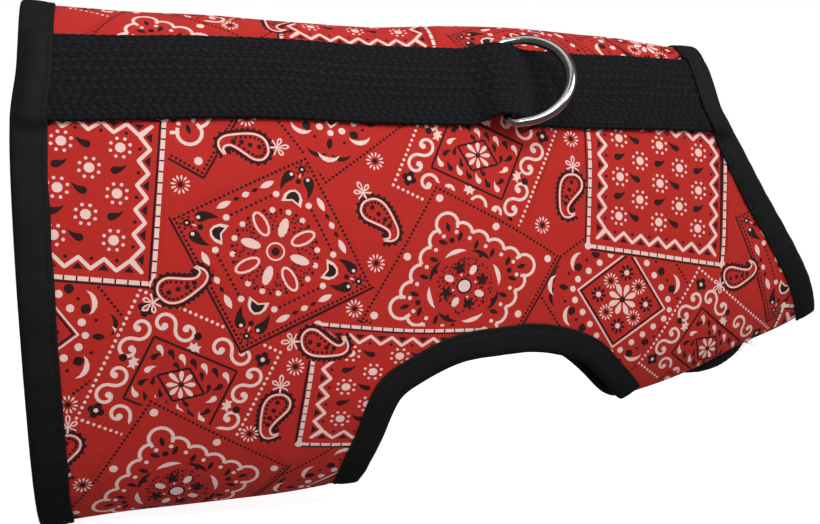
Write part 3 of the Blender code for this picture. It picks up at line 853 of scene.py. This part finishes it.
def printFigures():
    made = []
    unturned = (0, 0, 0, 1, 1)
    (alongX, alongT), (downX, downT) = printPlan["repeatAlong"], printPlan["repeatDown"]
    squares = [spot for _, room, spots in printPlan["figures"] if room > 30 for spot in spots]

    def clear(x, t, others, apart):
        return all(math.hypot(x - other[0], t - other[1]) > apart for other in others)

    for draw, room, spots in printPlan["figures"]:
        drawn = draw()
        places = list(spots)
        apart, lowest = (30.0, 185) if room > 30 else (0.0, 10)
        for base in spots[:3]:
            for i, j in np.ndindex(11, 11):
                x = base[0] + (i - 5) * alongX + (j - 5) * downX
                t = base[1] + (i - 5) * alongT + (j - 5) * downT
                inReach = -125 < x < 170 and -240 < t < lowest
                if inReach and clear(x, t, squares, apart) and clear(x, t, places, room):
                    places.append((x, t, *base[2:3]))
        for place in places:
            x, t, turn, wide, tall = (*place, *unturned[len(place):])
            for outline, ink in moved(drawn, turn=turn, flip=-1 if wide < 0 else 1):
                placed = outline * (abs(wide), tall) + (x, t)
                if not isCovered(placed):
                    made.append((placed, ink))
    return made


def insideLoop(points, loop):
    x, t = points[:, 0], points[:, 1]
    inside = np.zeros(len(points), bool)
    for (x1, t1), (x2, t2) in zip(loop, np.roll(loop, -1, axis=0)):
        if t1 != t2:
            inside ^= ((t1 > t) != (t2 > t)) & (x < x1 + (t - t1) / (t2 - t1) * (x2 - x1))
    return inside


def clothOutline(step):
    return np.concatenate([edge[:-1] for edge in clothEdges(step, body["turnedEdge"]).values()])


def hexGrid(loop, spacing):
    low, high = loop.min(axis=0), loop.max(axis=0)
    points = []
    for row, t in enumerate(np.arange(low[1], high[1], spacing * 0.87)):
        xs = np.arange(low[0] + (row % 2) * spacing / 2, high[0], spacing)
        points.append(pairs(xs, np.full(len(xs), t)))
    points = np.concatenate(points)
    return points[insideLoop(points, loop)]


def crowded(points, others, cell):
    taken = {(int(x // cell), int(t // cell)) for x, t in others}
    return np.array([(int(x // cell), int(t // cell)) in taken for x, t in points])


def fillOutline(loop, spacing, figures):
    centres = np.array([outline.mean(axis=0) for outline, _ in figures]).reshape(-1, 2)
    if len(figures):
        keep = insideLoop(centres, loop)
        reach = np.array([np.ptp(outline, axis=0).max() for outline, _ in figures])
        keep |= reach > 6
        figures = [figure for figure, wanted in zip(figures, keep) if wanted]
    points = [Vector(p) for p in loop]
    faces = [list(range(len(loop)))]
    for outline, _ in figures:
        x, t = outline[:, 0], outline[:, 1]
        if np.sum(x * np.roll(t, -1) - t * np.roll(x, -1)) < 0:
            outline = outline[::-1]
        faces.append(list(range(len(points), len(points) + len(outline))))
        points += [Vector(p) for p in outline]
    known = np.array([tuple(p) for p in points])
    grid = hexGrid(loop, spacing)
    grid = grid[~crowded(grid, known, 0.8)]
    points += [Vector(p) for p in grid]
    verts, _, triangles, _, _, sources = delaunay_2d_cdt(points, [], faces, 0, 1e-4, True)
    inkOf = [red] + [ink for _, ink in figures]
    kept, colors = [], []
    for triangle, source in zip(triangles, sources):
        if source and min(source) == 0:
            kept.append(triangle)
            colors.append(inkOf[max(source)])
    # points outside the cloth are left out
    used = sorted({k for triangle in kept for k in triangle})
    placeOf = dict(zip(used, range(len(used))))
    kept = [[placeOf[k] for k in triangle] for triangle in kept]
    return np.array([tuple(verts[k]) for k in used]), kept, colors


def boundaryEdges(triangles):
    directed = {(a, b) for face in triangles for a, b in zip(face, list(face[1:]) + [face[0]])}
    return [(a, b) for a, b in sorted(directed) if (b, a) not in directed]


def meshFrom(name, points, faces):
    mesh = bpy.data.meshes.new(name)
    mesh.from_pydata((np.asarray(points) * 0.001).tolist(), [], faces)
    return mesh


def isFree(point):
    x, t = point
    end = nearEnd(x) if t > 0 else farEnd(x)
    return abs(abs(t) - (end - body["turnedEdge"])) < 0.06


def printedCloth():
    flat, triangles, colors = fillOutline(clothOutline(body["edgeStep"]), body["meshStep"], printFigures())
    report(f"print drawn, {len(triangles)} triangles")
    x, t = flat[:, 0], flat[:, 1]
    points = list(onCloth(x, t, 0.0))
    normals = list(clothNormals(x, t))
    maps = list(flat)
    faces = [list(reversed(face)) for face in triangles]
    # the turned edge rolls from the face to the inside
    rolled = {}
    fold = body["turnedEdge"]
    edges = [(a, b) for a, b in boundaryEdges(triangles) if isFree(flat[a]) and isFree(flat[b])]
    turns = np.radians((30, 60, 90, 120, 150, 180))

    def rollPoint(k):
        if k not in rolled:
            side = 1 if flat[k][1] > 0 else -1
            rolled[k] = [k]
            for turn in turns:
                px, pt = flat[k][0], flat[k][1] + side * fold * math.sin(turn)
                rolled[k].append(len(points))
                points.append(onCloth(px, pt, -fold * (1 - math.cos(turn))))
                normals.append((0, 0, 0))
                maps.append((px, pt))
        return rolled[k]

    for a, b in edges:
        rowA, rowB = rollPoint(a), rollPoint(b)
        for step in range(len(turns)):
            faces.append([rowA[step], rowB[step], rowB[step + 1], rowA[step + 1]])
            colors.append(turned if 1 <= step <= 3 and flat[a][0] > 60 and flat[a][1] > 0 else red)
    mesh = meshFrom("printed_cloth", points, faces)
    mesh.polygons.foreach_set("material_index", np.array(colors, np.int32))
    setMap(mesh, np.array(maps))
    cottons = (printRed, printWhite, printDark, turnedCotton)
    piece = keepPiece("printed_cloth", mesh, cottons)
    mesh.normals_split_custom_set_from_vertices(np.array(normals))
    flatArea = sum(abs(np.cross(flat[f[1]] - flat[f[0]], flat[f[2]] - flat[f[0]])) / 2 for f in triangles)
    return piece, flatArea * 1e-6


def liningCloth():
    flat, triangles, _ = fillOutline(clothOutline(3.0), 1.5 * body["meshStep"], [])
    mesh = meshFrom("body_lining", onCloth(flat[:, 0], flat[:, 1], -body["wall"]), triangles)
    setMap(mesh, flat)
    return keepPiece("body_lining", mesh, (liningCotton,))


turnedCotton = clothMaterial("turnedCotton", inks["tan"])
printed, printedArea = printedCloth()
lining = liningCloth()
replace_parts(printed, "body_panel")
report(f"cloth made, flat area {printedArea:.4f} m2")

binding = {
    "step": 1.15,
    "stitchIn": 5.9,      # the stitch line, from the cloth's edge
    "stitch": 2.1,
    "stitchGap": 0.75,
    "thread": 0.14,
}
bindingProfile = (
    # distance from the cloth's edge, height above its outer face
    (7.15, 0.02), (7.22, 0.30), (7.12, 0.55), (6.8, 0.68), (6.3, 0.70), (5.9, 0.60), (5.5, 0.74),
    (4.7, 0.88), (3.6, 0.95), (2.4, 0.98), (1.2, 0.99), (0.2, 0.94), (-0.5, 0.74), (-1.0, 0.36),
    (-1.28, -0.2), (-1.35, -0.9), (-1.28, -1.6), (-1.0, -2.16), (-0.5, -2.54), (0.2, -2.74), (1.2, -2.79),
    (3.0, -2.78), (5.0, -2.66), (5.9, -2.42), (6.6, -2.48), (7.1, -2.30), (7.15, -1.83), (3.0, -1.83),
    (0.1, -1.83), (0.1, 0.02), (3.6, 0.02), (5.2, 0.02), (7.15, 0.02),
)


def bindEdge(name, edge, node):
    edge = evenly(edge, binding["step"])
    normals = edgeNormals(edge)
    run = np.arange(len(edge)) * binding["step"]
    across = len(bindingProfile) - 1
    table = np.array(bindingProfile)
    arc = runAlong(table)

    def pointAt(u, v):
        i = np.rint(u * (len(edge) - 1)).astype(int)
        j = np.rint(v * across).astype(int)
        reach, height = table[j, 0], table[j, 1].copy()
        outside = np.where(height > -0.9, 1.0, -1.0)
        # the tape lies a little unevenly and draws in at each stitch
        stitch = np.cos(2 * math.pi * run[i] / (binding["stitch"] + binding["stitchGap"]))
        nearStitch = np.exp(-((reach - binding["stitchIn"]) / 0.9) ** 2)
        crown = np.clip((reach + 1.3) / 2, 0, 1) * np.clip((7.2 - reach) / 2, 0, 1)
        uneven = np.sin(run[i] / 3.1 + 1.4 * np.sin(run[i] / 9.0))
        height += outside * (0.05 * stitch * nearStitch + 0.07 * crown * uneven)
        reach = reach + 0.10 * np.sin(run[i] / 4.3 + 2 * np.sin(run[i] / 13.0)) * (reach > 6)
        place = edge[i] + normals[i] * reach[:, None]
        # beneath the tape only the last of its width rises with it
        rising = np.where(table[j, 1] > 0.02, 1.0, ease((reach - 3.6) / 1.6)) * (height > 0)
        height += rising * overStrap(place[:, 0], place[:, 1], reach)
        return onCloth(place[:, 0], place[:, 1], height), pairs(run[i], arc[j])

    mesh = bandMesh(name, len(edge) - 1, across, pointAt)
    piece = keepPiece(name, mesh, (bindingCotton,))
    mesh.set_sharp_from_angle(angle=math.radians(60))
    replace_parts(piece, node)
    return piece


# A thin tube through circles of the given middles and radii.
def addTube(bm, sides, turn, stops):
    rows = []
    for middle, radius in stops:
        made = bmesh.ops.create_circle(bm, cap_ends=False, segments=sides, radius=radius)["verts"]
        for vert in made:
            vert.co = middle + turn @ vert.co
        rows.append(made)
    for a, b in zip(rows, rows[1:]):
        for k in range(sides):
            bm.faces.new((a[k], a[(k + 1) % sides], b[(k + 1) % sides], b[k]))
    bm.faces.new(rows[0][::-1])
    bm.faces.new(rows[-1])


# One machine stitch: a short thread that dips at both ends.
def addStitch(bm, start, stop, lift, radius):
    start, stop, lift = Vector(start), Vector(stop), Vector(lift).normalized()
    along = (stop - start).normalized()
    turn = Matrix((lift.cross(along), lift, along)).transposed()
    shape = ((-0.02, -1.2, 0.6), (0.16, 0.25, 1.0), (0.5, 0.4, 1.05), (0.84, 0.25, 1.0), (1.02, -1.2, 0.6))
    addTube(bm, 6, turn, [(start.lerp(stop, place) + lift * radius * high, radius * wide)
                          for place, high, wide in shape])


def finishThreads(name, bm):
    mesh = meshOf(name, bm)
    points = np.array([v.co for v in mesh.vertices]) * 1000
    setMap(mesh, points[:, (0, 2)])
    return keepPiece(name, mesh, (threadBlack,))


edges = clothEdges(0.8, 0.0)
bound = (("waist", "waist_binding_cloth", "waist_binding"), ("neck", "neck_binding_cloth", "neck_binding"),
         ("nearArch", "armhole_binding_near_cloth", "armhole_binding_near"),
         ("farArch", "armhole_binding_far_cloth", "armhole_binding_far"))
bindings = [bindEdge(name, edges[edge], node) for edge, name, node in bound]
threads = bmesh.new()
for edge, _, _ in bound:
    line = evenly(edges[edge], 0.5)
    normals = edgeNormals(line)
    seam = line + normals * binding["stitchIn"]
    run = runAlong(seam)
    for start in np.arange(1.5, run[-1] - 3.5, binding["stitch"] + binding["stitchGap"]):
        ends = [[np.interp(start + s, run, seam[:, c]) for c in (0, 1)] for s in (0, binding["stitch"])]
        ends = np.array(ends)
        for height, sign in ((0.64, 1), (-2.46, -1)):
            rising = overStrap(ends[:, 0], ends[:, 1], binding["stitchIn"]) * (sign > 0)
            points = onCloth(ends[:, 0], ends[:, 1], height + rising) * 0.001
            lift = lookUp(skinOutward, ends[:1, 0], ends[:1, 1])[0] * sign
            addStitch(threads, points[0], points[1], lift, binding["thread"] * 0.001)
bindingThread = finishThreads("binding_stitches", threads)
report("edges bound")


def ringFrame():
    barX, t = strap["barX"], float(spineT(strap["barX"]))

    def still(x, t, height):
        return lookUp(skinPoints, [x], [t])[0] + lookUp(skinOutward, [x], [t])[0] * height

    out = np.cross(still(barX, t - 8, 0) - still(barX, t + 8, 0), (-1, 0, 0))
    out /= np.linalg.norm(out)
    along = still(barX + 8, t, 0) - still(barX - 8, t, 0)
    along -= out * (along @ out)
    along, out = Vector(along).normalized(), Vector(out)
    out = Matrix.Rotation(math.radians(ring["roll"]), 3, along) @ out
    along = Matrix.Rotation(math.radians(ring["swing"]), 3, out) @ along
    middle = still(barX, t, strap["low"] + ring["wire"] + ring["lift"])
    return middle, np.array(along), np.array(out.cross(along)), np.array(out)


ring = {
    "wire": 1.45,
    "halfWidth": 14.05,
    "side": 5.2,
    "corner": 2.6,
    "lift": 0.5,
    "rest": 23.5,       # degrees, as are the two below
    "roll": -7.5,
    "swing": -5.0,
    "thin": 1.28,       # wire radius at the bar
    "broad": 1.62,      # and at the apex
    "flat": 0.9,
}


def onStrap(x, offset, height):
    middle, along, across, out = ringFrame()
    over = (middle + along * (x - strap["barX"])[:, None] - across * offset[:, None]
            + out * (ring["wire"] + strap["low"] + height)[:, None])
    share = 1 - ease((np.abs(x - strap["barX"]) - ring["wire"]) / strap["rise"])
    lying = onCloth(x, spineT(x) + offset, strap["low"] + height)
    return lying + (over - lying) * share[:, None]


def strapPlace(u, offset):
    # the ends follow the edges of the cloth
    start, stop = strap["ends"]
    place = start + u * (stop - start)
    t = spineT(place) + offset
    toWaist = (waistX(t) + strap["beneath"] - start) * (1 - ease((place - start) / 40))
    toNeck = (neckX(t) - strap["beneath"] - stop) * (1 - ease((stop - place) / 40))
    return place + toWaist + toNeck


def webbingRelief(run, offset):
    # warp yarns in columns that wander a little, each bump beside the gap of the next, and no two quite alike
    wander = 0.16 * np.sin(run / 2.9 + offset * 0.8) + 0.10 * np.sin(run * 1.7 + offset * 2.1)
    across = (offset + wander + strap["width"] / 2) / strap["yarn"]
    column = np.floor(across)
    within = across - column - 0.5
    lean = np.where((column % 4) < 2, -1.0, 1.0)
    drift = 0.13 * np.sin(column * 12.9) + 0.22 * np.sin(run / 5.3 + column * 1.9)
    phase = run / strap["float"] + (column % 2) * 0.5 + lean * within * 0.32 + drift
    which = np.floor(phase)
    bump = 0.5 - 0.5 * np.cos(2 * math.pi * (phase - which))
    crown = np.sqrt(np.clip(1 - (2.0 * within) ** 2, 0, 1))
    uneven = 0.74 + 0.26 * np.sin(which * 37.7 + column * 91.3)
    return uneven * crown * (0.10 + 0.90 * bump ** 0.7)


def webbingStrap():
    half, thick = strap["width"] / 2, strap["high"] - strap["low"]
    columns = 97
    top = np.linspace(-half + 0.35, half - 0.35, columns)
    near = np.array((-half + 0.3, -half - 0.02, -half, -half + 0.12))
    offsets = np.concatenate((near, top, -near[::-1], (0, near[0])))
    heights = np.concatenate(((0, 0.35, 0.8, 1.1), np.full(columns, thick - 0.14), (1.1, 0.8, 0.35, 0, 0, 0)))
    sides = np.concatenate(((0, 1, 1, 0.8), np.zeros(columns), (0.8, 1, 1, 0, 0, 0)))
    isTop = np.abs(heights - thick + 0.14) < 1e-6
    arc = np.cumsum(np.concatenate(([0], np.hypot(np.diff(offsets), np.diff(heights)))))

    def pointAt(u, v):
        j = np.rint(v * (len(offsets) - 1)).astype(int)
        offset = offsets[j]
        x = strapPlace(u, offset)
        run = x - x.min()
        loops = 0.5 + 0.5 * np.sin(2 * math.pi * run / strap["float"] + np.sin(run / 6.0))
        scallop = sides[j] * np.sign(offset) * 0.30 * (loops - 0.5)
        # the yarn's height also sets the painted shade between the yarns in the webbing's material
        yarn = np.where(isTop[j], webbingRelief(run, offset), 0.55 * sides[j] * loops)
        height = heights[j] + strap["relief"] * yarn * isTop[j]
        return onStrap(x, offset + scallop, height), np.stack((run, arc[j], yarn), 1)

    mesh = bandMesh("back_strap_webbing", 700, len(offsets) - 1, pointAt, True)
    piece = keepPiece("back_strap_webbing", mesh, (webbingCotton,))
    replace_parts(piece, "back_strap")
    return piece


webbingStrap()
report("strap woven")


def ringPath():
    half, corner, side = ring["halfWidth"], ring["corner"], ring["side"]
    turns = np.linspace(0, math.pi / 2, 9)[1:]
    bar = [(0.0, y) for y in np.linspace(corner - half, half - corner, 13)]
    upper = [(corner - corner * math.cos(a), half - corner + corner * math.sin(a)) for a in turns]
    upper += [(x, half) for x in np.linspace(corner, side, 5)[1:-1]]
    bow = [(side + half * math.sin(a), half * math.cos(a)) for a in np.linspace(0, math.pi, 65)]
    return bar + upper + bow + [(x, -y) for x, y in reversed(upper)]


def dRing():
    wire = bpy.data.curves.new("d_ring_wire", "CURVE")
    wire.dimensions = "3D"
    wire.bevel_depth = ring["thin"] * 0.001
    wire.bevel_resolution = 8
    spline = wire.splines.new("POLY")
    path = ringPath()
    spline.points.add(len(path) - 1)
    for point, (x, y) in zip(spline.points, path):
        point.co = (x * 0.001, y * 0.001, 0, 1)
        point.radius = 1 + (ring["broad"] / ring["thin"] - 1) * ease((x - 4.0) / 16.0)
    spline.use_cyclic_u = True
    holder = addToScene("d_ring_holder", wire)
    mesh = bpy.data.meshes.new_from_object(holder.evaluated_get(bpy.context.evaluated_depsgraph_get()))
    bpy.data.objects.remove(holder)
    mesh.name = "d_ring_plated"
    middle, along, across, out = (Vector(v) for v in ringFrame())
    turn = Matrix((along, across, out)).transposed() @ Matrix.Rotation(-math.radians(ring["rest"]), 3, "Y")
    flatten = Matrix.Diagonal((1, 1, ring["flat"], 1))
    mesh.transform(Matrix.Translation(middle * 0.001) @ turn.to_4x4() @ flatten)
    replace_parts(keepPiece("d_ring_plated", mesh, (nickelPlate,), "ring"), "d_ring")


dRing()
report("ring made")

tapes = {
    "wall": 0.9,
    "hookGap": 0.45,
    "inset": 3.0,
    # name, slot, side, from and to x, overlap, gap at its inner edge, bow of that edge, how far it hangs down
    "pieces": (("belly_hook", "hook_tape", 1, (-82.0, -25.0), "bellyOverlap", 3.0, 0.0, 0.0),
               ("belly_loop", "loop_tape", -1, (-82.0, -25.0), "bellyOverlap", 1.0, 0.0, 0.0),
               ("chest_hook", "hook_tape", 1, (92.0, 118.0), "chestOverlap", 3.0, 0.0, 0.0),
               ("chest_loop", "loop_tape", -1, (92.0, 121.0), "chestOverlap", 0.0, 5.0, 4.0)),
    "pile": (115.0, 126.0),
    "fibres": 170,
    "fibre": 0.06,         # radius
}


def addTape(name, slotName, side, span, overlap, inner, bow, sag):
    rows = 70
    shares = np.concatenate(((0.0, 0.004), np.linspace(0.015, 0.985, rows), (0.996, 1.0, 0.5, 0.0)))
    levels = np.concatenate(((0.0, 0.75), np.ones(rows), (0.75, 0.0, 0.0, 0.0)))
    face = -body["wall"] - tapes["hookGap"]
    low, high = (face, face - tapes["wall"]) if side > 0 else (0.1, 0.3 + tapes["wall"])

    def pointAt(u, v):
        j = np.rint(v * (len(shares) - 1)).astype(int)
        x = span[0] + u * (span[1] - span[0])
        end = nearEnd(x) if side > 0 else farEnd(x)
        start, stop = end - body[overlap] + inner - bow * np.sin(math.pi * u), end - tapes["inset"]
        t = start + shares[j] * (stop - start)
        pile = 0.10 * np.sin(x * 5.1 + 3 * np.sin(t * 3.7)) * np.sin(t * 5.7 + 2 * np.sin(x * 2.3))
        ends = ease(np.minimum(u, 1 - u) * 60)
        height = low + (high - low) * levels[j] * (0.6 + 0.4 * ends) + pile * (levels[j] == 1) * ends
        height += sag * np.sin(math.pi * u * u) ** 0.5 * (1 - ease((t - start) / 9.0))
        return onCloth(x, side * t, height), pairs(x, t)

    mesh = bandMesh(name + "_side", 110, len(shares) - 1, pointAt)
    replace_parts(keepPiece(name + "_side", mesh, (pileNylon,)), name + "_tape")


for tape in tapes["pieces"]:
    addTape(*tape)


# Pile that has worked loose at the end of the chest loop tape.
def loosePile():
    bm = bmesh.new()
    chance = random.Random(11)
    first, last = tapes["pile"]
    for _ in range(tapes["fibres"]):
        x = chance.uniform(first, last)
        t = float(farEnd(x)) - body["chestOverlap"] - chance.uniform(-3.0, 2.0)
        foot = Vector(onCloth(x, -t, 1.0 + 0.26 * (last - x))) * 0.001
        lift = Vector(lookUp(skinOutward, x, -t)) + Vector([chance.uniform(-0.6, 0.6) for _ in range(3)])
        bend = Vector([chance.uniform(-0.5, 0.5) for _ in range(3)])
        long = chance.uniform(1.0, 2.6) * 0.001
        stops = [(foot + (lift * s + bend * s * s) * long, tapes["fibre"] * 0.001 * (1 - 0.5 * s))
                 for s in (0.0, 0.35, 0.7, 1.0)]
        addTube(bm, 4, lift.to_track_quat("Z", "X"), stops)
    return finishThreads("chest_loop_pile", bm)


loosePile()
report("tapes made")


studio = {
    "camera": (-0.07736, -0.28604, -0.0669),
    "turn": 17.0,
    "lens": 43.90,
    "fill": 0.37,        # light from all round, beside what the camera sees of it
    "mirrored": 0.07,    # and what shines in the metal
    "floorColor": (0.40, 0.40, 0.40),
    "floorGlow": 0.92,
    # name, place, aim, size, power, spread in degrees
    "lights": (("soft_top", (-0.02, -0.12, 0.62), (-0.01, -0.02, 0.0), (0.5, 0.4), 0.22, 120),
               ("soft_left", (-0.06, -0.45, 0.30), (-0.02, -0.03, -0.03), (0.20, 0.20), 0.17, 60),
               ("soft_right", (0.45, -0.60, 0.45), (0.03, 0.0, -0.05), (0.4, 0.4), 3.3, 180)),
}


def addFloor():
    bm = bmesh.new()
    bmesh.ops.create_grid(bm, x_segments=2, y_segments=2, size=4.0)
    mesh = bpy.data.meshes.new("studio_floor")
    bm.to_mesh(mesh)
    bm.free()
    material, _, _, shader = makeMaterial("floorWhite", studio["floorColor"], 0.9, gloss=0.0)
    shader.inputs["Emission Color"].default_value = (1, 1, 1, 1)
    shader.inputs["Emission Strength"].default_value = studio["floorGlow"]
    mesh.materials.append(material)
    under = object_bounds()[0][2] - 0.0002
    floor = addToScene("studio_floor", mesh)
    floor.location = (0, 0, under)
    floor.visible_diffuse = False
    floor.visible_glossy = False


def addLight(name, place, aim, size, power, spread):
    light = bpy.data.lights.new(name, "AREA")
    light.shape = "RECTANGLE"
    light.size, light.size_y = size
    light.energy = power
    light.spread = math.radians(spread)
    lamp = addToScene(name, light)
    lamp.location = place
    lamp.rotation_euler = (Vector(aim) - Vector(place)).to_track_quat("-Z", "Y").to_euler()


def addCamera():
    camera = bpy.data.cameras.new("studio_camera")
    camera.sensor_width = 36
    camera.lens = studio["lens"]
    camera.clip_start = 0.01
    seat = addToScene("studio_camera", camera)
    turn = math.radians(studio["turn"])
    seat.location = studio["camera"]
    seat.rotation_euler = Vector((math.sin(turn), math.cos(turn), 0)).to_track_quat("-Z", "Y").to_euler()
    bpy.context.scene.camera = seat


# The camera sees plain white; what reaches the harness from all round is softer.
def addSurround():
    world = bpy.data.worlds.new("studio_surround")
    world.use_nodes = True
    nodes, links = world.node_tree.nodes, world.node_tree.links
    seen = nodes["Background"]
    seen.inputs["Strength"].default_value = 1.0
    seen.inputs["Color"].default_value = (1, 1, 1, 1)
    path = addNode(nodes, "ShaderNodeLightPath")
    light, dim = (addNode(nodes, "ShaderNodeBackground", Strength=studio[key], Color=(1, 1, 1, 1))
                  for key in ("fill", "mirrored"))
    for ray, other in (("Is Glossy Ray", dim), ("Is Camera Ray", seen)):
        mix = addNode(nodes, "ShaderNodeMixShader")
        for source, socket in zip((path.outputs[ray], light.outputs[0], other.outputs[0]), mix.inputs):
            links.new(source, socket)
        light = mix
    links.new(light.outputs[0], nodes["World Output"].inputs["Surface"])
    bpy.context.scene.world = world


addFloor()
addCamera()
for light in studio["lights"]:
    addLight(*light)
addSurround()
bpy.context.scene.view_settings.view_transform = "Standard"
bpy.context.scene.view_settings.look = "None"

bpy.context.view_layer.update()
report("scene ready")
